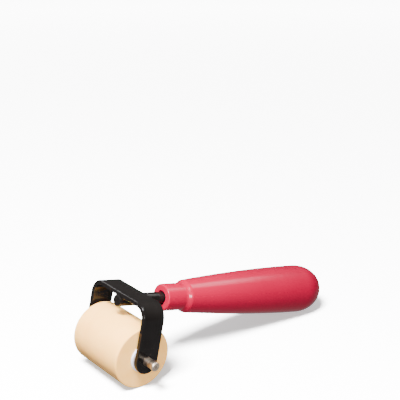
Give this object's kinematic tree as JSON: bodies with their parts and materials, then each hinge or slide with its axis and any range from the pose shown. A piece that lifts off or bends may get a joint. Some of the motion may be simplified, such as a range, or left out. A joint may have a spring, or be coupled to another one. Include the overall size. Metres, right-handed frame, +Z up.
{
  "type": "rubber brayer",
  "caption": "Hand brayer: a soft rubber roller turning on a steel axle in a bent strap yoke, welded to a round shank in a moulded plastic handle.",
  "frame": {"origin": "on the bench under the middle of the tool, as it lies on the roller and the handle's butt", "axes": "+X from the roller to the handle's butt, +Y along the axle to the user's right with the handle held towards them, +Z up"},
  "size_m": [0.1956, 0.0812, 0.0581],
  "materials": {
    "gum_rubber": "ground matt gum rubber",
    "core_steel": "plain drawn tube",
    "bush_nylon": "natural moulded nylon",
    "bright_steel": "turned bright bar",
    "zinc_steel": "zinc plated",
    "black_enamel": "gloss baked enamel",
    "crimson_plastic": "moulded, satin gloss"
  },
  "bodies": {
    "frame": {"yoke": "black_enamel", "shank": "black_enamel", "weld_beads": "black_enamel", "handle": "crimson_plastic", "axle": "bright_steel", "thrust_washer_left": "zinc_steel", "thrust_washer_right": "zinc_steel"},
    "roller": {"roller_cover": "gum_rubber", "roller_core": "core_steel", "bush_left": "bush_nylon", "bush_right": "bush_nylon"}
  },
  "joints": [
    {"name": "roller_spin", "type": "hinge", "parent": "frame", "child": "roller", "pos_m": [-0.07731, 0, 0.0205], "axis": [0, 1, 0], "continuous": true}
  ]
}
